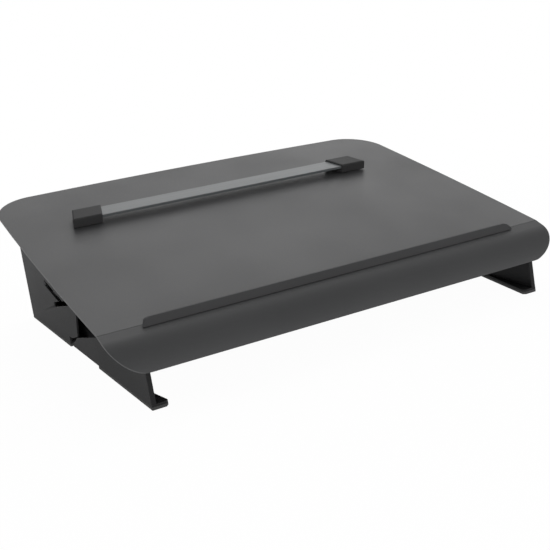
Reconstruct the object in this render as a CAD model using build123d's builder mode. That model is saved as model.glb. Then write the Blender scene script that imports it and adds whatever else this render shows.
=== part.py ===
from build123d import *
import os
from math import atan2, cos, degrees, radians, sin, sqrt, tan

os.makedirs("parts", exist_ok=True)

# A sloped document holder for a desk: a sheet steel board with a rolled front
# nose, hinged at the front between two side plates, propped at the rear by a
# rod that runs in slots, with a sliding line guide on top and a shallow drawer
# underneath. Millimetres. X is to the right, Y to the rear, Z up from the desk.
# "s" is a distance up the board from its front crease, "n" is a height above
# the board's top face, both at rest.

# ------------------------------------------------------------ driving sizes
slope = 12.1                  # rest slope of the board, degrees
fold_height = 68.1            # crease line above the desk
fold_to_foot = 28.0           # crease line behind the front tip of the feet
running_gap = 0.3             # gap between pieces that move past each other
pin_clearance = 0.05          # radial clearance of a pin in its hole

# board and nose
board_front_width = 506.4     # at the crease
board_middle_width = 508.6    # where the bowed sides are furthest apart
board_middle_s = 110.0
board_rear_width = 498.6      # between the rear corners, before they are rounded
board_length = 328.7          # crease to the middle of the bowed rear edge
rear_corner_drop = 5.6        # the same corners lie this much nearer the crease
rear_corner_radius = 48.0
board_t = 1.5
crease_angle = 9.4            # the nose falls this much below the board
nose_fall = 10.4              # straight part of the nose
nose_radius = 35.0
nose_end_angle = 161.0        # where the roll stops, 180 is square to the board
nose_corner_radius = 35.0     # rounded ends of the nose

# document lip along the crease
lip_length = 427.0
lip_foot = 5.1                # how far its front foot reaches down the nose
lip_height = 6.5
lip_back = 2.0                # depth behind the crease
lip_top_front = -0.6
lip_top_back = 1.2
lip_bevel = 10.5              # its top is this much shorter at each end
lip_end_swell = 2.6           # the rounded ends pass here, in from the end and up
lip_end_swell_n = 3.4
lip_undercut = 1.0            # shadow groove under the front foot
lip_undercut_height = 0.8
lip_skew = 4.0                # its ends lean in this much from front to rear

# stiffening ribs under the board
rib_t = 2.0
rib_side_gap = 3.4            # between a rib and the side plate beside it
rib_depth = 16.0
rib_start = 2.0
rib_length = 283.0
rib_flange = 16.0
rib_end_cut = 8.0
channel_t = 1.2
channel_end_gap = 2.0         # between a channel's end and the rib's flange
channel_width = 30.0          # over its two welded lips
channel_hat_width = 16.4
channel_depth = 12.0
channel_front_s = 62.0
channel_rear_s = 205.0

# tilt pivot
pivot_y = 22.5                # behind the front tip of the feet
pivot_z = 36.5
axle_r = 4.0
bush_wall = 2.0
bush_flange_r = 8.0
lug_r = 9.0
lug_neck_rise = 18.0          # the hinge lug's front edge turns in this high above the pin
lug_neck_front = 4.5
prop_lug_root = 18.0          # half the prop lug's width where it leaves the rib
axle_cap_r = 6.5
axle_cap_t = 2.0

# side plates
side_outer_x = 223.5
side_t = 2.0
foot_pad_t = 3.0
foot_pad_length = 128.0
rear_pad_width = 15.0
leg_lean = 8.0                # front edge, degrees from upright
leg_front_height = 44.0
leg_peak_y = 39.0
leg_peak_z = 55.8
leg_tail_y = 184.6
leg_tail_z = 16.2
leg_end_y = 199.0
leg_end_drop = 8.0
leg_return = 4.6              # width of the return along the front edge
foot_width = 16.5
foot_chamfer = 3.0
foot_straight = 4.0           # length of the full width part of the foot
foot_taper_end = 84.5
leg_shelf_start = 104.0
leg_shelf_end = 190.0
shelf_width = 30.0            # inward shelves that carry the drawer case

panel_front_s = 139.3
panel_top_depth = 6.0         # below the board's top face
panel_notch_y = 209.1
panel_notch_z = 11.6
panel_foot_rear = 337.6
panel_lean = 5.8              # rear edge, degrees from upright
panel_step_gap = 1.0          # gap between the leg and the panel above it
panel_return = 30.0           # width of the return along the rear edge
slot_depth = 62.2             # centre line of the rod slot, below the board's top face
slot_width = 6.0
slot_front_s = 180.6
slot_rear_s = 235.8
branch_width = 5.2            # hooked branch that crosses the slot's front end
branch_front_y = 192.3
branch_front_z = 51.3
branch_hook_y = 242.4
branch_hook_z = 38.25

# rear rail and its bumpers
rail_s = 290.0
rail_width = 20.0
rail_top_depth = 8.0          # below the board's top face
rail_depth = 16.0
rail_t = 1.5
bumper_r = 6.0
bumper_x = 150.0

# prop frame
prop_pivot_s = 133.5
prop_pivot_depth = 47.2       # below the board's top face
prop_length = 99.6
prop_arm_gap = 1.5            # between a rib and the arm beside it
prop_arm_t = 3.0
prop_arm_r = 6.0
rod_r = 2.0
prop_pin_r = 3.0
prop_pin_head_r = 5.0
prop_pin_head_t = 2.0
prop_washer_r = 5.0
prop_clip_r = 5.0
prop_clip_t = 1.2
prop_pin_stub = 1.2           # how far a pin shows past its clip

# line guide
guide_x = -6.0                # it stands this much left of the middle
guide_s = 229.5
guide_half_length = 185.7
cap_length = 32.4
cap_width = 25.0
cap_skew = 8.0                # the caps' ends lean in this much from front to rear
cap_height = 11.0
cap_round = 1.6
guide_bar_width = 22.0
guide_bar_t = 3.0
guide_bar_n = 6.0             # underside above the board
guide_bar_inset = 8.0         # how far the bar reaches into each cap
pad_t = 0.8
magnet_r = 5.0
magnet_t = 3.0

# drawer case and drawer
case_side_gap = 19.5          # from a side plate's outer face to the case
case_t = 1.2
case_front_y = 90.5
case_depth = 231.5
case_height = 25.0
tray_side_gap = 12.0          # from the case's outer face to the tray
tray_t = 1.5
tray_height = 19.0
tray_gap_below = 0.8
drawer_front_t = 3.0
drawer_front_inset = 1.5      # narrower than the case on each side
drawer_front_height = 22.0
drawer_front_gap = 0.5
drawer_front_lift = 0.8
drawer_front_round = 0.75
runner_t = 1.5
runner_wall_gap = 1.0
runner_end_gap = 1.0
slide_bar_height = 6.0
slide_bar_z = 12.0
slide_bar_depth = 8.4
slide_bar_setback = 3.0
divider_x = 62.0
divider_t = 1.2
divider_drop = 2.0
mat_t = 1.0
mat_margin = 2.0
pull_length = 110.0
pull_depth = 6.0
pull_height = 4.0
pull_z = 14.0
pull_round = 2.0
back_bumper_r = 5.0
back_bumper_x = 120.0
back_bumper_gap = 3.0         # between the tray's back and the case
screw_r = 2.0
screw_head_r = 3.8
screw_head_t = 1.6
nut_r = 3.6
nut_t = 2.4

# ------------------------------------------------------------ derived places
slope_cos = cos(radians(slope))
slope_sin = sin(radians(slope))
crease_tan = tan(radians(crease_angle))

nose_tangent = (-nose_fall * cos(radians(crease_angle)), -nose_fall * sin(radians(crease_angle)))
nose_centre = (
    nose_tangent[0] + nose_radius * sin(radians(crease_angle)),
    nose_tangent[1] - nose_radius * cos(radians(crease_angle)),
)
# the roll's frontmost point is where it stands upright, or its end if it stops before that
front_angle = radians(min(nose_end_angle, 180 - slope))
nose_reach = (
    (nose_centre[1] + nose_radius * sin(front_angle)) * slope_sin
    - (nose_centre[0] + nose_radius * cos(front_angle)) * slope_cos
)
overall_depth = nose_reach + board_length * slope_cos + board_t * slope_sin
fold_y = nose_reach - overall_depth / 2
foot_y = fold_y - fold_to_foot

side_inner_x = side_outer_x - side_t
rib_outer_x = side_inner_x - rib_side_gap
rib_inner_x = rib_outer_x - rib_t
channel_length = 2 * (rib_outer_x - rib_flange - channel_end_gap)
prop_arm_x = rib_inner_x - prop_arm_gap
prop_arm_inner_x = prop_arm_x - prop_arm_t
plate_z = foot_pad_t
shelf_top = plate_z + side_t
shelf_inner_x = side_outer_x - shelf_width
case_half_width = side_outer_x - case_side_gap
tray_half_width = case_half_width - tray_side_gap


def desk_point(s, n):
    """Y from the front tip of the feet, and Z, of a point on the slope."""
    return (
        fold_to_foot + s * slope_cos - n * slope_sin,
        fold_height + s * slope_sin + n * slope_cos,
    )


def slope_point(y, z):
    """s and n of a point given from the front tip of the feet and the desk."""
    dy = y - fold_to_foot
    dz = z - fold_height
    return (dy * slope_cos + dz * slope_sin, dz * slope_cos - dy * slope_sin)


def desk_side(x):
    """Plane across the object at x, its axes Y from the feet and Z."""
    return Plane(origin=(x, foot_y, 0), x_dir=(0, 1, 0), z_dir=(1, 0, 0))


def slope_side(x):
    """Plane across the object at x, its axes s and n."""
    return Plane(origin=(x, fold_y, fold_height), x_dir=(0, slope_cos, slope_sin), z_dir=(1, 0, 0))


def board_level(n):
    """Plane parallel to the board, n above its top face, its axes X and s."""
    origin = (0, fold_y - n * slope_sin, fold_height + n * slope_cos)
    return Plane(origin=origin, x_dir=(1, 0, 0), z_dir=(0, -slope_sin, slope_cos))


def desk_level(z):
    """Plane parallel to the desk, its axes X and Y from the feet."""
    return Plane(origin=(0, foot_y, z), x_dir=(1, 0, 0), z_dir=(0, 0, 1))


def finish(builder, node):
    """Name a finished piece and write it."""
    builder.part.label = node
    export_step(builder.part, f"parts/{node}.step")


sides = (("left", -1), ("right", 1))

pivot_s, pivot_n = slope_point(pivot_y, pivot_z)
leg_run = tan(radians(leg_lean))
panel_run = tan(radians(panel_lean))
prop_drop = prop_pivot_depth - slot_depth
rod_s = prop_pivot_s + sqrt(prop_length**2 - prop_drop**2)
roll_start = 90 + crease_angle
roll_turn = nose_end_angle - roll_start
rear_corner_s = board_length - rear_corner_drop

# ------------------------------------------------------------ board with its nose
with BuildPart() as platform_board:
    with BuildSketch(slope_side(-board_front_width / 2)):
        with BuildLine():
            outer = CenterArc(nose_centre, nose_radius, roll_start, roll_turn)
            inner = CenterArc(nose_centre, nose_radius - board_t, roll_start, roll_turn)
            inner_fold = (board_t * tan(radians(crease_angle / 2)), -board_t)
            Line((0, 0), outer @ 0)
            Line(outer @ 1, inner @ 1)
            Line(inner @ 0, inner_fold)
            Line(inner_fold, (0, 0))
        make_face()
    extrude(amount=board_front_width)
    # the ends of the nose are rounded off as the flat blank would be
    nose_tip = outer @ 1
    chord = sqrt(nose_tip.X**2 + nose_tip.Y**2)
    chord_angle = radians(slope) + atan2(-nose_tip.Y, -nose_tip.X)
    nose_face = Plane(
        origin=(0, fold_y, fold_height),
        x_dir=(1, 0, 0),
        z_dir=(0, -sin(chord_angle), cos(chord_angle)),
    )
    with BuildSketch(nose_face):
        with Locations((0, -chord)):
            Rectangle(board_front_width, 2 * chord, align=(Align.CENTER, Align.MIN))
        fillet(vertices().group_by(Axis.Y)[0], nose_corner_radius)
    extrude(amount=chord, both=True, mode=Mode.INTERSECT)
    with BuildSketch(board_level(0)):
        with BuildLine():
            Line((-board_front_width / 2, 0), (board_front_width / 2, 0))
            ThreePointArc(
                (board_front_width / 2, 0),
                (board_middle_width / 2, board_middle_s),
                (board_rear_width / 2, rear_corner_s),
            )
            ThreePointArc(
                (board_rear_width / 2, rear_corner_s),
                (0, board_length),
                (-board_rear_width / 2, rear_corner_s),
            )
            ThreePointArc(
                (-board_rear_width / 2, rear_corner_s),
                (-board_middle_width / 2, board_middle_s),
                (-board_front_width / 2, 0),
            )
        make_face()
        fillet(vertices().group_by(Axis.Y)[-1], rear_corner_radius)
    extrude(amount=-board_t)
finish(platform_board, "platform_board")

# ------------------------------------------------------------ document lip
groove_s = lip_undercut - lip_foot
lip_half = lip_length / 2
with BuildPart() as document_lip:
    with BuildSketch(slope_side(-lip_half)):
        with BuildLine():
            Polyline(
                (-lip_foot, lip_undercut_height - lip_foot * crease_tan),
                (groove_s, lip_undercut_height + groove_s * crease_tan),
                (groove_s, groove_s * crease_tan),
                (0, 0),
                (lip_back, 0),
                (lip_top_back, lip_height),
                (lip_top_front, lip_height),
                close=True,
            )
        make_face()
    extrude(amount=lip_length)
    lip_front_view = Plane(
        origin=(0, fold_y, fold_height), x_dir=(1, 0, 0), z_dir=(0, -slope_cos, -slope_sin)
    )
    with BuildSketch(lip_front_view):
        with BuildLine():
            Polyline((-lip_half, 0), (-lip_half, -lip_foot), (lip_half, -lip_foot), (lip_half, 0))
            ThreePointArc(
                (lip_half, 0),
                (lip_half - lip_end_swell, lip_end_swell_n),
                (lip_half - lip_bevel, lip_height),
            )
            Line((lip_half - lip_bevel, lip_height), (lip_bevel - lip_half, lip_height))
            ThreePointArc(
                (lip_bevel - lip_half, lip_height),
                (lip_end_swell - lip_half, lip_end_swell_n),
                (-lip_half, 0),
            )
        make_face()
    extrude(amount=lip_foot + lip_back, both=True, mode=Mode.INTERSECT)
    # the ends lean in towards the rear, like the line guide's caps
    with BuildSketch(board_level(-lip_foot)):
        with BuildLine():
            Polyline(
                (-lip_half, -lip_foot),
                (lip_half, -lip_foot),
                (lip_half - lip_skew, lip_back),
                (lip_skew - lip_half, lip_back),
                close=True,
            )
        make_face()
    extrude(amount=lip_foot + lip_height, mode=Mode.INTERSECT)
finish(document_lip, "document_lip")

# ------------------------------------------------------------ ribs under the board
for side, sign in sides:
    with BuildPart() as side_rib:
        with BuildSketch(slope_side(sign * rib_outer_x)):
            with BuildLine():
                Polyline(
                    (rib_start, -board_t),
                    (rib_start + rib_length, -board_t),
                    (rib_start + rib_length, -board_t - rib_end_cut),
                    (rib_start + rib_length - rib_end_cut, -rib_depth),
                    (rib_start, -rib_depth),
                    close=True,
                )
            make_face()
            # the hinge lug reaches forward and down under the nose
            with BuildLine():
                Polyline(
                    (rib_start, -board_t - rib_t),
                    (rib_start + lug_r, -rib_depth),
                    (pivot_s + lug_r, pivot_n),
                    (pivot_s - lug_r, pivot_n),
                    (pivot_s - lug_neck_front, pivot_n + lug_neck_rise),
                    close=True,
                )
            make_face()
            with Locations((pivot_s, pivot_n)):
                Circle(lug_r)
            # the prop lug hangs down
            with BuildLine():
                Polyline(
                    (prop_pivot_s - prop_lug_root, -rib_depth),
                    (prop_pivot_s - lug_r, -prop_pivot_depth),
                    (prop_pivot_s + lug_r, -prop_pivot_depth),
                    (prop_pivot_s + prop_lug_root, -rib_depth),
                    close=True,
                )
            make_face()
            with Locations((prop_pivot_s, -prop_pivot_depth)):
                Circle(lug_r)
                Circle(prop_pin_r + pin_clearance, mode=Mode.SUBTRACT)
            with Locations((pivot_s, pivot_n)):
                Circle(axle_r + bush_wall + pin_clearance, mode=Mode.SUBTRACT)
        extrude(amount=-sign * rib_t)
        with BuildSketch(board_level(-board_t)):
            with Locations((sign * (rib_outer_x - rib_flange / 2), rib_start + rib_length / 2)):
                Rectangle(rib_flange, rib_length)
        extrude(amount=-rib_t)
    finish(side_rib, f"side_rib_{side}")

for place, channel_s in (("front", channel_front_s), ("rear", channel_rear_s)):
    with BuildPart() as cross_channel:
        with BuildSketch(slope_side(-channel_length / 2)):
            with Locations((channel_s, -board_t)):
                Rectangle(channel_width, channel_t, align=(Align.CENTER, Align.MAX))
                Rectangle(channel_hat_width, channel_depth, align=(Align.CENTER, Align.MAX))
                Rectangle(
                    channel_hat_width - 2 * channel_t,
                    channel_depth - channel_t,
                    align=(Align.CENTER, Align.MAX),
                    mode=Mode.SUBTRACT,
                )
        extrude(amount=channel_length)
    finish(cross_channel, f"cross_channel_{place}")

# ------------------------------------------------------------ tilt pivot
with BuildPart() as pivot_bushes:
    for side, sign in sides:
        with BuildSketch(slope_side(sign * rib_inner_x)):
            with Locations((pivot_s, pivot_n)):
                Circle(axle_r + bush_wall)
                Circle(axle_r + pin_clearance, mode=Mode.SUBTRACT)
        extrude(amount=sign * rib_t)
        with BuildSketch(slope_side(sign * rib_outer_x)):
            with Locations((pivot_s, pivot_n)):
                Circle(bush_flange_r)
                Circle(axle_r + pin_clearance, mode=Mode.SUBTRACT)
        extrude(amount=sign * (side_inner_x - rib_outer_x - running_gap))
finish(pivot_bushes, "pivot_bushes")

with BuildPart() as pivot_axle:
    with BuildSketch(desk_side(-side_outer_x - axle_cap_t)):
        with Locations((pivot_y, pivot_z)):
            Circle(axle_r)
    extrude(amount=2 * (side_outer_x + axle_cap_t))
finish(pivot_axle, "pivot_axle")

with BuildPart() as axle_caps:
    for side, sign in sides:
        with BuildSketch(desk_side(sign * side_outer_x)):
            with Locations((pivot_y, pivot_z)):
                Circle(axle_cap_r)
                Circle(axle_r, mode=Mode.SUBTRACT)
        extrude(amount=sign * axle_cap_t)
finish(axle_caps, "axle_caps")

# ------------------------------------------------------------ side plates of the base
shelf_screw_x = (shelf_inner_x + case_half_width) / 2
leg_screw_y = (leg_shelf_start + leg_shelf_end) / 2
panel_screw_ys = (
    panel_notch_y + (panel_foot_rear - panel_notch_y) / 4,
    panel_foot_rear - (panel_foot_rear - panel_notch_y) / 4,
)
screw_ys = (leg_screw_y,) + panel_screw_ys
foot_front = plate_z * leg_run
leg_top_front = leg_front_height * leg_run
foot_inner_x = side_outer_x - foot_width

for side, sign in sides:
    with BuildPart() as leg_plate:
        with BuildSketch(desk_side(sign * side_outer_x)):
            with BuildLine():
                Polyline(
                    (foot_front, plate_z),
                    (leg_end_y, plate_z),
                    (leg_end_y, plate_z + leg_end_drop / 2),
                    (leg_end_y - leg_end_drop, plate_z + leg_end_drop),
                    (leg_tail_y, leg_tail_z),
                    (leg_peak_y, leg_peak_z),
                    (leg_top_front, leg_front_height),
                    close=True,
                )
            make_face()
            with Locations((pivot_y, pivot_z)):
                Circle(axle_r, mode=Mode.SUBTRACT)
        extrude(amount=-sign * side_t)
        # return along the leaning front edge
        with BuildSketch(desk_side(sign * side_outer_x)):
            with BuildLine():
                Polyline(
                    (foot_front, plate_z),
                    (foot_front + side_t, plate_z),
                    (leg_top_front + side_t, leg_front_height),
                    (leg_top_front, leg_front_height),
                    close=True,
                )
            make_face()
        extrude(amount=-sign * leg_return)
        # foot turned inward, tapering away to the rear
        with BuildSketch(desk_level(plate_z)):
            with BuildLine():
                Polyline(
                    (sign * side_outer_x, foot_front),
                    (sign * (foot_inner_x + foot_chamfer), foot_front),
                    (sign * foot_inner_x, foot_front + foot_chamfer),
                    (sign * foot_inner_x, foot_straight),
                    (sign * side_inner_x, foot_taper_end),
                    (sign * side_outer_x, foot_taper_end),
                    close=True,
                )
            make_face()
        extrude(amount=side_t)
        # shelf under the drawer case
        with BuildSketch(desk_level(plate_z)):
            with Locations((sign * (side_outer_x - shelf_width / 2), leg_screw_y)):
                Rectangle(shelf_width, leg_shelf_end - leg_shelf_start)
            with Locations((sign * shelf_screw_x, leg_screw_y)):
                Circle(screw_r + pin_clearance, mode=Mode.SUBTRACT)
        extrude(amount=side_t)
    finish(leg_plate, f"leg_plate_{side}")

# the panel's front edge is square to the board and stops just above the leg
panel_top_front = desk_point(panel_front_s, -panel_top_depth)
leg_top_fall = (leg_peak_z - leg_tail_z) / (leg_tail_y - leg_peak_y)
edge_foot = desk_point(panel_front_s, 0)
leg_top_there = leg_peak_z - leg_top_fall * (edge_foot[0] - leg_peak_y)
panel_low_n = (leg_top_there + panel_step_gap - edge_foot[1]) / (slope_cos - leg_top_fall * slope_sin)
panel_low_front = desk_point(panel_front_s, panel_low_n)
# its rear edge leans back to the level of its top edge
panel_rear_s = (
    panel_foot_rear
    - fold_to_foot
    + fold_height * panel_run
    - panel_top_depth * (slope_sin + slope_cos * panel_run)
) / (slope_cos - slope_sin * panel_run)
panel_top_rear = desk_point(panel_rear_s, -panel_top_depth)
panel_low_rear = (panel_foot_rear + plate_z * panel_run, plate_z)
branch_length = sqrt((branch_hook_y - branch_front_y) ** 2 + (branch_hook_z - branch_front_z) ** 2)
slot_middle = (slot_front_s + slot_rear_s) / 2
branch_turn = degrees(atan2(branch_hook_z - branch_front_z, branch_hook_y - branch_front_y))

for side, sign in sides:
    with BuildPart() as rear_panel:
        with BuildSketch(desk_side(sign * side_outer_x)):
            with BuildLine():
                Polyline(
                    panel_top_front,
                    panel_low_front,
                    (leg_tail_y, leg_tail_z + panel_step_gap),
                    (leg_end_y, plate_z + leg_end_drop + panel_step_gap),
                    (panel_notch_y, panel_notch_z),
                    (panel_notch_y, plate_z),
                    panel_low_rear,
                    panel_top_rear,
                    close=True,
                )
            make_face()
        extrude(amount=-sign * side_t)
        # slot for the prop rod, parallel to the resting board
        with BuildSketch(slope_side(sign * side_outer_x)):
            with Locations((slot_middle, -slot_depth)):
                SlotOverall(slot_rear_s - slot_front_s, slot_width)
        extrude(amount=-sign * side_t, mode=Mode.SUBTRACT)
        # branch that falls to the rear and ends in a hook
        with BuildSketch(desk_side(sign * side_outer_x)):
            with Locations(((branch_front_y + branch_hook_y) / 2, (branch_front_z + branch_hook_z) / 2)):
                SlotCenterToCenter(branch_length, branch_width, rotation=branch_turn)
        extrude(amount=-sign * side_t, mode=Mode.SUBTRACT)
        # return along the rear edge
        with BuildSketch(desk_side(sign * side_outer_x)):
            with BuildLine():
                Polyline(
                    (panel_low_rear[0] - side_t, panel_low_rear[1]),
                    panel_low_rear,
                    panel_top_rear,
                    (panel_top_rear[0] - side_t, panel_top_rear[1] - side_t),
                    close=True,
                )
            make_face()
        extrude(amount=-sign * panel_return)
        # shelf under the drawer case
        with BuildSketch(desk_level(plate_z)):
            with Locations((sign * (side_outer_x - shelf_width / 2), panel_notch_y)):
                Rectangle(
                    shelf_width, panel_foot_rear - panel_notch_y, align=(Align.CENTER, Align.MIN)
                )
            with Locations([(sign * shelf_screw_x, y) for y in panel_screw_ys]):
                Circle(screw_r + pin_clearance, mode=Mode.SUBTRACT)
        extrude(amount=side_t)
    finish(rear_panel, f"rear_panel_{side}")

# ------------------------------------------------------------ rear rail and bumpers
with BuildPart() as rear_rail:
    with BuildSketch(slope_side(-side_inner_x)):
        with Locations((rail_s, -rail_top_depth)):
            Rectangle(rail_width, rail_depth, align=(Align.MIN, Align.MAX))
        with Locations((rail_s + rail_t, -rail_top_depth - rail_t)):
            Rectangle(
                rail_width - 2 * rail_t,
                rail_depth - rail_t,
                align=(Align.MIN, Align.MAX),
                mode=Mode.SUBTRACT,
            )
    extrude(amount=2 * side_inner_x)
finish(rear_rail, "rear_rail")

with BuildPart() as rest_bumpers:
    with BuildSketch(board_level(-rail_top_depth)):
        with Locations((-bumper_x, rail_s + rail_width / 2), (bumper_x, rail_s + rail_width / 2)):
            Circle(bumper_r)
    extrude(amount=rail_top_depth - board_t - running_gap)
finish(rest_bumpers, "rest_bumpers")

# ------------------------------------------------------------ prop frame
arm_turn = degrees(atan2(prop_drop, rod_s - prop_pivot_s))
for side, sign in sides:
    with BuildPart() as prop_arm:
        with BuildSketch(slope_side(sign * prop_arm_x)):
            with Locations(((prop_pivot_s + rod_s) / 2, -(prop_pivot_depth + slot_depth) / 2)):
                SlotCenterToCenter(prop_length, 2 * prop_arm_r, rotation=arm_turn)
            with Locations((prop_pivot_s, -prop_pivot_depth)):
                Circle(prop_pin_r + pin_clearance, mode=Mode.SUBTRACT)
            with Locations((rod_s, -slot_depth)):
                Circle(rod_r, mode=Mode.SUBTRACT)
        extrude(amount=-sign * prop_arm_t)
    finish(prop_arm, f"prop_arm_{side}")

with BuildPart() as prop_rod:
    with BuildSketch(slope_side(-side_outer_x)):
        with Locations((rod_s, -slot_depth)):
            Circle(rod_r)
    extrude(amount=2 * side_outer_x)
finish(prop_rod, "prop_rod")

pin_length = rib_outer_x - prop_arm_inner_x + running_gap + prop_clip_t + prop_pin_stub
with BuildPart() as prop_pins:
    for side, sign in sides:
        with BuildSketch(slope_side(sign * rib_outer_x)):
            with Locations((prop_pivot_s, -prop_pivot_depth)):
                Circle(prop_pin_head_r)
        extrude(amount=sign * prop_pin_head_t)
        with BuildSketch(slope_side(sign * rib_outer_x)):
            with Locations((prop_pivot_s, -prop_pivot_depth)):
                Circle(prop_pin_r)
        extrude(amount=-sign * pin_length)
finish(prop_pins, "prop_pins")

with BuildPart() as prop_clips:
    for side, sign in sides:
        with BuildSketch(slope_side(sign * (prop_arm_inner_x - running_gap))):
            with Locations((prop_pivot_s, -prop_pivot_depth)):
                Circle(prop_clip_r)
                Circle(prop_pin_r, mode=Mode.SUBTRACT)
        extrude(amount=-sign * prop_clip_t)
finish(prop_clips, "prop_clips")

with BuildPart() as prop_washers:
    for side, sign in sides:
        with BuildSketch(slope_side(sign * rib_inner_x)):
            with Locations((prop_pivot_s, -prop_pivot_depth)):
                Circle(prop_washer_r)
                Circle(prop_pin_r + pin_clearance, mode=Mode.SUBTRACT)
        extrude(amount=-sign * (rib_inner_x - prop_arm_x - running_gap))
finish(prop_washers, "prop_washers")

# ------------------------------------------------------------ line guide
cap_front_s = guide_s - cap_width / 2
cap_rear_s = guide_s + cap_width / 2
cap_inner_x = guide_half_length - cap_length
cap_middle_x = guide_half_length - (cap_length + cap_skew) / 2
cap_middles = [(guide_x + sign * cap_middle_x, guide_s) for side, sign in sides]
bar_half_length = cap_inner_x + guide_bar_inset
pad_top = running_gap + pad_t

for side, sign in sides:
    with BuildPart() as guide_cap:
        with BuildSketch(board_level(pad_top)):
            with BuildLine():
                Polyline(
                    (guide_x + sign * cap_inner_x, cap_front_s),
                    (guide_x + sign * guide_half_length, cap_front_s),
                    (guide_x + sign * (guide_half_length - cap_skew), cap_rear_s),
                    (guide_x + sign * (cap_inner_x - cap_skew), cap_rear_s),
                    close=True,
                )
            make_face()
        extrude(amount=cap_height - pad_top)
        fillet(faces().sort_by(Axis.Z)[-1].edges(), cap_round)
        # pocket for the bar, open towards the middle
        with BuildSketch(board_level(guide_bar_n - pin_clearance)):
            with Locations((guide_x + sign * bar_half_length / 2, guide_s)):
                Rectangle(bar_half_length + 2 * pin_clearance, guide_bar_width + 2 * pin_clearance)
        extrude(amount=guide_bar_t + 2 * pin_clearance, mode=Mode.SUBTRACT)
        # pocket for the magnet, open below
        with BuildSketch(board_level(pad_top)):
            with Locations((guide_x + sign * cap_middle_x, guide_s)):
                Circle(magnet_r)
        extrude(amount=magnet_t, mode=Mode.SUBTRACT)
    finish(guide_cap, f"guide_cap_{side}")

with BuildPart() as guide_bar:
    with BuildSketch(board_level(guide_bar_n)):
        with Locations((guide_x, guide_s)):
            Rectangle(2 * bar_half_length, guide_bar_width)
    extrude(amount=guide_bar_t)
finish(guide_bar, "guide_bar")

with BuildPart() as guide_magnets:
    with BuildSketch(board_level(pad_top)):
        with Locations(cap_middles):
            Circle(magnet_r)
    extrude(amount=magnet_t)
finish(guide_magnets, "guide_magnets")

with BuildPart() as guide_pads:
    with BuildSketch(board_level(running_gap)):
        with Locations(cap_middles):
            Rectangle(cap_length - cap_skew - 2 * cap_round, cap_width - 2 * cap_round)
    extrude(amount=pad_t)
finish(guide_pads, "guide_pads")

# ------------------------------------------------------------ drawer case
case_floor = shelf_top
case_inner_x = case_half_width - case_t
screw_places = [(sign * shelf_screw_x, y) for side, sign in sides for y in screw_ys]
with BuildPart() as drawer_case:
    with BuildSketch(desk_level(case_floor)):
        with Locations((0, case_front_y)):
            Rectangle(2 * case_half_width, case_depth, align=(Align.CENTER, Align.MIN))
    extrude(amount=case_height)
    with BuildSketch(desk_level(case_floor + case_t)):
        with Locations((0, case_front_y)):
            Rectangle(2 * case_inner_x, case_depth - case_t, align=(Align.CENTER, Align.MIN))
    extrude(amount=case_height - 2 * case_t, mode=Mode.SUBTRACT)
    with BuildSketch(desk_level(case_floor)):
        with Locations(screw_places):
            Circle(screw_r + pin_clearance)
    extrude(amount=case_t, mode=Mode.SUBTRACT)
finish(drawer_case, "drawer_case")

with BuildPart() as case_screws:
    with BuildSketch(desk_level(plate_z)):
        with Locations(screw_places):
            Circle(screw_head_r)
    extrude(amount=-screw_head_t)
    with BuildSketch(desk_level(plate_z)):
        with Locations(screw_places):
            Circle(screw_r)
    extrude(amount=side_t + case_t + nut_t)
finish(case_screws, "case_screws")

with BuildPart() as case_nuts:
    with BuildSketch(desk_level(case_floor + case_t)):
        with Locations(screw_places):
            RegularPolygon(nut_r, 6)
            Circle(screw_r + pin_clearance, mode=Mode.SUBTRACT)
    extrude(amount=nut_t)
finish(case_nuts, "case_nuts")

# ------------------------------------------------------------ drawer runners
tray_back_y = case_front_y + case_depth - case_t - back_bumper_gap
front_rear_y = case_front_y - drawer_front_gap
tray_length = tray_back_y - front_rear_y
slide_bar_outer_x = tray_half_width + slide_bar_depth
channel_low_z = slide_bar_z - running_gap - runner_t
channel_high_z = slide_bar_z + slide_bar_height + running_gap + runner_t
runner_length = case_depth - case_t - 2 * runner_end_gap
runner_mouth_x = tray_half_width + runner_wall_gap
runner_middle_z = (channel_low_z + channel_high_z) / 2
runner_plane = Plane(
    origin=(0, foot_y + case_front_y + runner_end_gap, 0), x_dir=(1, 0, 0), z_dir=(0, -1, 0)
)
for side, sign in sides:
    runner_middle_x = sign * (case_inner_x + runner_mouth_x) / 2
    with BuildPart() as case_runner:
        with BuildSketch(runner_plane):
            with Locations((runner_middle_x, runner_middle_z)):
                Rectangle(case_inner_x - runner_mouth_x, channel_high_z - channel_low_z)
            with Locations((runner_middle_x - sign * runner_t, runner_middle_z)):
                Rectangle(
                    case_inner_x - runner_mouth_x,
                    slide_bar_height + 2 * running_gap,
                    mode=Mode.SUBTRACT,
                )
        extrude(amount=-runner_length)
    finish(case_runner, f"case_runner_{side}")

    with BuildPart() as drawer_slide:
        with BuildSketch(desk_level(slide_bar_z)):
            with Locations((sign * tray_half_width, front_rear_y + slide_bar_setback)):
                Rectangle(
                    slide_bar_depth,
                    tray_length - 2 * slide_bar_setback,
                    align=(Align.MIN if sign > 0 else Align.MAX, Align.MIN),
                )
        extrude(amount=slide_bar_height)
    finish(drawer_slide, f"drawer_slide_{side}")

# ------------------------------------------------------------ drawer
tray_z = case_floor + case_t + tray_gap_below
tray_inner_x = tray_half_width - tray_t
with BuildPart() as drawer_tray:
    with BuildSketch(desk_level(tray_z)):
        with Locations((0, front_rear_y)):
            Rectangle(2 * tray_half_width, tray_length, align=(Align.CENTER, Align.MIN))
    extrude(amount=tray_height)
    with BuildSketch(desk_level(tray_z + tray_t)):
        with Locations((0, front_rear_y + tray_t)):
            Rectangle(2 * tray_inner_x, tray_length - 2 * tray_t, align=(Align.CENTER, Align.MIN))
    extrude(amount=tray_height, mode=Mode.SUBTRACT)
finish(drawer_tray, "drawer_tray")

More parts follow.
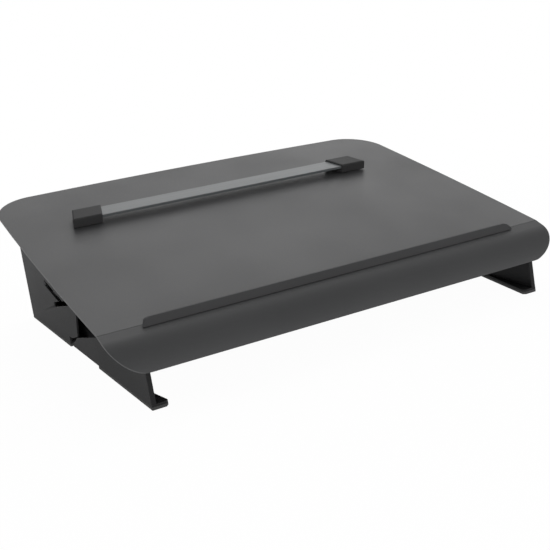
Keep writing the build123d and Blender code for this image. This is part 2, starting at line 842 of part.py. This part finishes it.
drawer_front_y = front_rear_y - drawer_front_t
drawer_front_z = case_floor + drawer_front_lift
with BuildPart() as drawer_front:
    with BuildSketch(desk_level(drawer_front_z)):
        with Locations((0, drawer_front_y)):
            Rectangle(
                2 * (case_half_width - drawer_front_inset), drawer_front_t, align=(Align.CENTER, Align.MIN)
            )
    extrude(amount=drawer_front_height)
    fillet(edges().filter_by(Axis.Z), drawer_front_round)
finish(drawer_front, "drawer_front")

with BuildPart() as drawer_pull:
    with BuildSketch(desk_level(pull_z)):
        with Locations((0, drawer_front_y)):
            Rectangle(pull_length, pull_depth, align=(Align.CENTER, Align.MAX))
        fillet(vertices().group_by(Axis.Y)[0], pull_round)
    extrude(amount=pull_height)
finish(drawer_pull, "drawer_pull")

for side, sign in sides:
    with BuildPart() as pen_divider:
        with BuildSketch(desk_level(tray_z + tray_t)):
            with Locations((sign * divider_x, front_rear_y + tray_t)):
                Rectangle(divider_t, tray_length - 2 * tray_t, align=(Align.CENTER, Align.MIN))
        extrude(amount=tray_height - tray_t - divider_drop)
    finish(pen_divider, f"pen_divider_{side}")

with BuildPart() as drawer_mat:
    with BuildSketch(desk_level(tray_z + tray_t)):
        with Locations((0, front_rear_y + tray_length / 2)):
            Rectangle(2 * divider_x - divider_t - 2 * mat_margin, tray_length - 2 * tray_t - 2 * mat_margin)
    extrude(amount=mat_t)
finish(drawer_mat, "drawer_mat")

bumper_z = tray_z + tray_height / 2
back_plane = Plane(
    origin=(0, foot_y + case_front_y + case_depth - case_t, bumper_z),
    x_dir=(1, 0, 0),
    z_dir=(0, -1, 0),
)
with BuildPart() as back_bumpers:
    with BuildSketch(back_plane):
        with Locations((-back_bumper_x, 0), (back_bumper_x, 0)):
            Circle(back_bumper_r)
    extrude(amount=back_bumper_gap - running_gap)
finish(back_bumpers, "back_bumpers")

# ------------------------------------------------------------ feet
for side, sign in sides:
    with BuildPart() as front_foot_pad:
        with BuildSketch(desk_level(0)):
            with BuildLine():
                Polyline(
                    (sign * side_outer_x, 0),
                    (sign * (foot_inner_x + foot_chamfer), 0),
                    (sign * foot_inner_x, foot_chamfer),
                    (sign * foot_inner_x, foot_straight),
                    (sign * side_inner_x, foot_taper_end),
                    (sign * side_inner_x, foot_pad_length),
                    (sign * side_outer_x, foot_pad_length),
                    close=True,
                )
            make_face()
        extrude(amount=foot_pad_t)
    finish(front_foot_pad, f"front_foot_pad_{side}")

    with BuildPart() as rear_foot_pad:
        with BuildSketch(desk_level(0)):
            with Locations((sign * side_outer_x, panel_notch_y)):
                Rectangle(
                    rear_pad_width,
                    panel_foot_rear - panel_notch_y,
                    align=(Align.MAX if sign > 0 else Align.MIN, Align.MIN),
                )
        extrude(amount=foot_pad_t)
    finish(rear_foot_pad, f"rear_foot_pad_{side}")
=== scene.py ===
from math import cos, radians, sin

import bpy
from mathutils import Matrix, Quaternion, Vector


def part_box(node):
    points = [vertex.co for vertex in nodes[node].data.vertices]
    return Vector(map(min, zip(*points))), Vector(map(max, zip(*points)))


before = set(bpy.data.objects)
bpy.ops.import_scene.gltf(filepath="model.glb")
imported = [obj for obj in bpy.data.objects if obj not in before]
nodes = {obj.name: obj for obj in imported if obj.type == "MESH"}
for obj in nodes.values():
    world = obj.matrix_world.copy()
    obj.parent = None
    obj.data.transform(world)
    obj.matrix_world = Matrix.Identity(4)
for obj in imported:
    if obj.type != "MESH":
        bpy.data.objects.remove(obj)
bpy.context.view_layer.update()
scene = bpy.context.scene

# ------------------------------------------------------------ sizes, metres and degrees
CREASE_BEHIND_FEET = 0.028       # the board's crease lies this far behind the feet's front tips
CREASE_SHADE_WIDTH = 0.0009             # width of the painted shade line along the crease

# camera, found from the photograph
VIEW_TURN = 29.135               # looks this far right of straight to the rear
VIEW_DIP = 16.474                # looks this far down
VIEW_ROLL = 5.447                # its right side tilts down this much
CAMERA_X = -0.493116
CAMERA_BEHIND_FEET = -0.71967
CAMERA_Z = 0.334724
LENS = 63.287                    # both in millimetres
SENSOR_WIDTH = 36.0

# softened edges
EDGE_FINE = 0.0004
EDGE_WIDE = 0.0005
WELD_REACH = 0.000002
SOFTEN_ANGLE = 30                # edges that turn more than this are softened

# grain of every coat, as shares of the grain's size or cells per metre
CLOUD_SCALE = 9.0                # broad mottling
CLOUD_SPAN = (0.3, 0.7)          # the noise values that the mottling runs between
SPECK_SCALE = 0.6
SPECK_SPAN = (0.62, 0.8)
SPECK_GAIN = 2.2                 # a speck is this much lighter than the paint
BUMP_SHARE = 0.25                # bump height for a given grain
EDGE_HIGHLIGHT_SPAN = (0.55, 1.0)          # how unevenly the painted edge highlight lightens the edges
CLOUD_ROUGHNESS = 0.05           # roughness swings this much with the mottling
GRAIN_ROUGHNESS = 0.04           # and this much with the grain
GRAIN_SPAN = (0.35, 0.65)

# room
FLOOR_HALF = 8.0
FLOOR_MATTE = 0.8
FLOOR_FILL = 0.46                # light that the floor adds from below
FLOOR_WHITE = (0.95, 1.0)        # whiteness of the floor near the object and far from it
FLOOR_WHITE_REACH = (0.35, 0.9)  # where near ends and far begins
SKY_LOW = 0.64                   # light from the horizon
SKY_HIGH = 0.30                  # light from above
SKY_HIGH_START = 0.7             # upward part of the direction from which it counts as above
REAR_PANEL = (0.52, 0.64, 0.565)     # towards the soft panel behind the object
REAR_PANEL_EDGE = 0.70           # cosine of the angle at which the panel fades out
REAR_PANEL_POWER = 2.0
REAR_PANEL_GAIN = 1.28
LAMP_PLACE = (0.1, 0.7, 1.5)
LAMP_AIM = (0, 0, 0.1)
LAMP_SIZE = 1.0
LAMP_WATTS = 2.5

WHITE = (1.0, 1.0, 1.0)
FOOT_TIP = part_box("front_foot_pad_left")[0][1]


# ------------------------------------------------------------ camera
def add_camera():
    turn = radians(VIEW_TURN)
    dip = radians(VIEW_DIP)
    ahead = Vector((sin(turn) * cos(dip), cos(turn) * cos(dip), -sin(dip)))
    level = ahead.to_track_quat("-Z", "Y")
    data = bpy.data.cameras.new("camera")
    data.lens = LENS
    data.sensor_width = SENSOR_WIDTH
    camera = bpy.data.objects.new("camera", data)
    scene.collection.objects.link(camera)
    camera.location = (CAMERA_X, FOOT_TIP + CAMERA_BEHIND_FEET, CAMERA_Z)
    camera.rotation_mode = "QUATERNION"
    camera.rotation_quaternion = Quaternion(ahead, radians(VIEW_ROLL)) @ level
    scene.camera = camera


add_camera()
scene.view_settings.view_transform = "Standard"


# ------------------------------------------------------------ shader helpers
class Graph:
    """Adds nodes to one material's or world's tree and joins them."""

    def __init__(self, tree):
        self.tree = tree
        tree.nodes.clear()

    def add(self, kind, settings=None, **inputs):
        """A new node. An input's name has _ where the socket's name has a space."""
        node = self.tree.nodes.new(kind)
        for name, value in (settings or {}).items():
            setattr(node, name, value)
        for name, value in inputs.items():
            self.feed(node.inputs[name.replace("_", " ")], value)
        return node

    def feed(self, socket, value):
        """Links a socket to the input, or else writes a constant to it."""
        if isinstance(value, bpy.types.NodeSocket):
            self.tree.links.new(value, socket)
        elif isinstance(value, tuple) and socket.type == "RGBA" and len(value) == 3:
            socket.default_value = (*value, 1)
        else:
            socket.default_value = value

    def fill(self, kind, settings, *values):
        """A new node whose first inputs take the values in order."""
        node = self.add(kind, settings)
        for socket, value in zip(node.inputs, values):
            self.feed(socket, value)
        return node

    def noise(self, place, scale, detail):
        return self.add("ShaderNodeTexNoise", Vector=place, Scale=scale, Detail=detail).outputs[0]

    def between(self, value, low, high, start=0.0, end=1.0):
        """value from start..end carried over to low..high."""
        return self.fill("ShaderNodeMapRange", {}, value, start, end, low, high).outputs[0]

    def sums(self, operation, first, second=0.0):
        return self.fill("ShaderNodeMath", {"operation": operation}, first, second).outputs[0]

    def vectors(self, operation, first, *second):
        return self.fill("ShaderNodeVectorMath", {"operation": operation}, first, *second).outputs

    def mix_colour(self, share, first, second):
        node = self.add("ShaderNodeMix", {"data_type": "RGBA"})
        self.feed(node.inputs[0], share)
        self.feed(node.inputs[6], first)
        self.feed(node.inputs[7], second)
        return node.outputs[2]

    def finish(self, kind, shader):
        self.fill(kind, {}, shader)


def shade(colour, factor):
    return tuple(c * factor for c in colour)


def edges_of(g, radius, start=0.02, end=0.30):
    """0 on a flat face, up to 1 within radius of an edge."""
    bevel = g.add("ShaderNodeBevel", {"samples": 6}, Radius=radius)
    face = g.add("ShaderNodeNewGeometry")
    turned = g.vectors("DOT_PRODUCT", bevel.outputs[0], face.outputs["True Normal"])
    away = g.sums("SUBTRACT", 1.0, turned["Value"])
    return g.between(away, 0.0, 1.0, start, end)


def coat(slot, colour, rough, grain, bump, gloss=0.3, edge_highlight_gain=1.0, edge_radius=0.0005,
         mottle=0.06, metallic=0.0, speck=0.1, drawn=1.0):
    """A coated or moulded surface: fine grain, mottled gloss, faint specks and a painted highlight
    along the edges.
    drawn below 1 stretches the grain along X, as on a drawn or brushed bar."""
    g = Graph(bpy.data.materials[slot].node_tree)
    surface = g.add("ShaderNodeTexCoord").outputs["Object"]
    place = g.vectors("MULTIPLY", surface, (drawn, 1.0, 1.0))[0]
    fine = g.noise(place, 1 / grain, 3.0)
    cloud = g.noise(place, CLOUD_SCALE, 3.0)
    dust = g.noise(place, SPECK_SCALE / grain, 1.0)
    mottling = g.between(cloud, 0.0, 1.0, *CLOUD_SPAN)
    tint = g.mix_colour(mottling, shade(colour, 1 - mottle), shade(colour, 1 + mottle))
    specks = g.between(dust, 0.0, speck, *SPECK_SPAN)
    speckled = g.mix_colour(specks, tint, shade(colour, SPECK_GAIN))
    # painted highlight: near each edge the colour lightens by edge_highlight_gain, patchy with the
    # mottling
    highlight_patches = g.between(cloud, *EDGE_HIGHLIGHT_SPAN, *CLOUD_SPAN)
    edge_highlight = g.sums("MULTIPLY", edges_of(g, edge_radius), highlight_patches)
    paint = g.mix_colour(edge_highlight, speckled, shade(colour, edge_highlight_gain))
    broad = g.between(cloud, rough - CLOUD_ROUGHNESS, rough + CLOUD_ROUGHNESS, *CLOUD_SPAN)
    small = g.between(fine, -GRAIN_ROUGHNESS, GRAIN_ROUGHNESS, *GRAIN_SPAN)
    roughness = g.sums("ADD", broad, small)
    height = g.add("ShaderNodeBump", Strength=bump, Distance=grain * BUMP_SHARE, Height=fine)
    body = g.add("ShaderNodeBsdfPrincipled", Base_Color=paint, Roughness=roughness,
                 Metallic=metallic, Normal=height.outputs[0])
    g.feed(body.inputs["Specular IOR Level"], gloss)
    g.finish("ShaderNodeOutputMaterial", body.outputs[0])
    return g, body


def paint_crease_shade(g, body, colour):
    """Painted shade: a thin darker line along the crease of the bend."""
    surface = g.add("ShaderNodeTexCoord").outputs["Object"]
    along = g.add("ShaderNodeSeparateXYZ", Vector=surface).outputs["Y"]
    off_line = g.sums("ABSOLUTE", g.sums("SUBTRACT", along, FOOT_TIP + CREASE_BEHIND_FEET))
    # painted shade: darkest on the crease line, fading out over the shade width
    crease_shade = g.between(off_line, 1.0, 0.0, CREASE_SHADE_WIDTH / 2, CREASE_SHADE_WIDTH)
    base_colour = body.inputs["Base Color"]
    paint = base_colour.links[0].from_socket
    g.feed(base_colour, g.mix_colour(crease_shade, paint, colour))


# ------------------------------------------------------------ materials, by the record's slots
# edge_highlight_gain in each call sets how strong the painted highlight along that coat's edges is
board, board_body = coat("board_paint", (0.084, 0.085, 0.087), 0.44, 0.0007, 0.25,
                         gloss=0.32, edge_highlight_gain=1.6)
# painted shade along the board's crease
paint_crease_shade(board, board_body, (0.028, 0.028, 0.029))
coat("base_paint", (0.029, 0.029, 0.030), 0.55, 0.0007, 0.25,
     gloss=0.12, edge_highlight_gain=4.0, edge_radius=0.0009)
coat("lip_plastic", (0.072, 0.072, 0.074), 0.5, 0.0006, 0.2, gloss=0.3, edge_highlight_gain=1.3)
coat("cap_plastic", (0.066, 0.066, 0.067), 0.55, 0.0006, 0.2, gloss=0.1, edge_highlight_gain=1.5)
coat("bar_grey", (0.175, 0.187, 0.193), 0.36, 0.0016, 0.3,
     gloss=0.4, edge_highlight_gain=1.5, mottle=0.1, drawn=0.01)
coat("magnet_nickel", (0.62, 0.61, 0.58), 0.25, 0.0012, 0.05, gloss=0.5, metallic=1.0)
coat("pad_felt", (0.03, 0.03, 0.031), 0.95, 0.0004, 0.8, gloss=0.1, edge_highlight_gain=1.2)
coat("zinc_steel", (0.48, 0.48, 0.49), 0.34, 0.0010, 0.15,
     gloss=0.5, metallic=0.9, edge_highlight_gain=1.3)
coat("nylon", (0.55, 0.55, 0.52), 0.5, 0.0008, 0.15, gloss=0.4)
coat("foot_rubber", (0.085, 0.085, 0.085), 0.8, 0.0005, 0.5, gloss=0.2, edge_highlight_gain=1.4)
coat("drawer_plastic", (0.055, 0.055, 0.057), 0.5, 0.0008, 0.3, gloss=0.35, edge_highlight_gain=1.6)
coat("drawer_front_paint", (0.050, 0.051, 0.053), 0.42, 0.0007, 0.2, gloss=0.4, edge_highlight_gain=2.0)
coat("mat_rubber", (0.040, 0.042, 0.045), 0.85, 0.0006, 0.5, gloss=0.2, edge_highlight_gain=1.3)


# ------------------------------------------------------------ softened edges on the solids
def soften(node, width):
    """Welds a solid's split corners and rounds its sharp edges a little."""
    obj = nodes[node]
    weld = obj.modifiers.new("weld", "WELD")
    weld.merge_threshold = WELD_REACH
    bevel = obj.modifiers.new("bevel", "BEVEL")
    bevel.width = width
    bevel.segments = 2
    bevel.limit_method = "ANGLE"
    bevel.angle_limit = radians(SOFTEN_ANGLE)
    bevel.use_clamp_overlap = True


for node in ("document_lip", "drawer_pull", "axle_caps"):
    soften(node, EDGE_WIDE)
for node in ("guide_bar", "drawer_front", "drawer_case"):
    soften(node, EDGE_FINE)
for side in ("left", "right"):
    soften(f"leg_plate_{side}", EDGE_WIDE)
    soften(f"rear_panel_{side}", EDGE_WIDE)
    soften(f"front_foot_pad_{side}", EDGE_FINE)
    soften(f"rear_foot_pad_{side}", EDGE_FINE)


# ------------------------------------------------------------ room
def add_floor():
    """A pale floor that keeps the object's shadow and is near white to the camera."""
    corners = [(-FLOOR_HALF, -FLOOR_HALF, 0), (FLOOR_HALF, -FLOOR_HALF, 0),
               (FLOOR_HALF, FLOOR_HALF, 0), (-FLOOR_HALF, FLOOR_HALF, 0)]
    mesh = bpy.data.meshes.new("floor")
    mesh.from_pydata(corners, [], [(0, 1, 2, 3)])
    floor = bpy.data.objects.new("floor", mesh)
    scene.collection.objects.link(floor)
    paint = bpy.data.materials.new("floor")
    paint.use_nodes = True
    mesh.materials.append(paint)

    g = Graph(paint.node_tree)
    path = g.add("ShaderNodeLightPath").outputs
    place = g.add("ShaderNodeTexCoord").outputs["Object"]
    distance = g.vectors("LENGTH", place)["Value"]
    matte = g.add("ShaderNodeBsdfDiffuse", Color=(FLOOR_MATTE, FLOOR_MATTE, FLOOR_MATTE))
    white = g.add("ShaderNodeEmission", Color=WHITE, Strength=1.0)
    glow = g.between(distance, *FLOOR_WHITE, *FLOOR_WHITE_REACH)
    share = g.sums("MULTIPLY", path["Is Camera Ray"], glow)
    lit = g.add("ShaderNodeEmission", Color=WHITE, Strength=FLOOR_FILL)
    table = g.fill("ShaderNodeAddShader", {}, matte.outputs[0], lit.outputs[0])
    blend = g.fill("ShaderNodeMixShader", {}, share, table.outputs[0], white.outputs[0])
    g.finish("ShaderNodeOutputMaterial", blend.outputs[0])


def add_world():
    """Light from a graded sky with one soft panel, on a white background."""
    world = bpy.data.worlds.new("studio")
    scene.world = world
    world.use_nodes = True
    g = Graph(world.node_tree)
    path = g.add("ShaderNodeLightPath").outputs
    direction = g.add("ShaderNodeTexCoord").outputs["Generated"]
    height = g.add("ShaderNodeSeparateXYZ", Vector=direction).outputs["Z"]
    rear = g.vectors("DOT_PRODUCT", direction, REAR_PANEL)["Value"]
    panel = g.sums("POWER", g.between(rear, 0.0, 1.0, REAR_PANEL_EDGE, 1.0), REAR_PANEL_POWER)
    graded = g.between(height, SKY_LOW, SKY_HIGH, 0.0, SKY_HIGH_START)
    sky = g.sums("ADD", graded, g.sums("MULTIPLY", panel, REAR_PANEL_GAIN))
    fill = g.add("ShaderNodeBackground", Color=WHITE, Strength=sky)
    shown = g.add("ShaderNodeBackground", Color=WHITE, Strength=1.0)
    blend = g.fill("ShaderNodeMixShader", {}, path["Is Camera Ray"], fill.outputs[0], shown.outputs[0])
    g.finish("ShaderNodeOutputWorld", blend.outputs[0])


def add_softbox(name, place, aim, size, watts):
    """A square lamp at place that faces aim."""
    lamp = bpy.data.lights.new(name, "AREA")
    lamp.shape = "SQUARE"
    lamp.size = size
    lamp.energy = watts
    obj = bpy.data.objects.new(name, lamp)
    scene.collection.objects.link(obj)
    obj.location = place
    obj.rotation_mode = "QUATERNION"
    obj.rotation_quaternion = (Vector(aim) - Vector(place)).to_track_quat("-Z", "Y")


add_floor()
add_world()
add_softbox("softbox_top", LAMP_PLACE, LAMP_AIM, LAMP_SIZE, LAMP_WATTS)
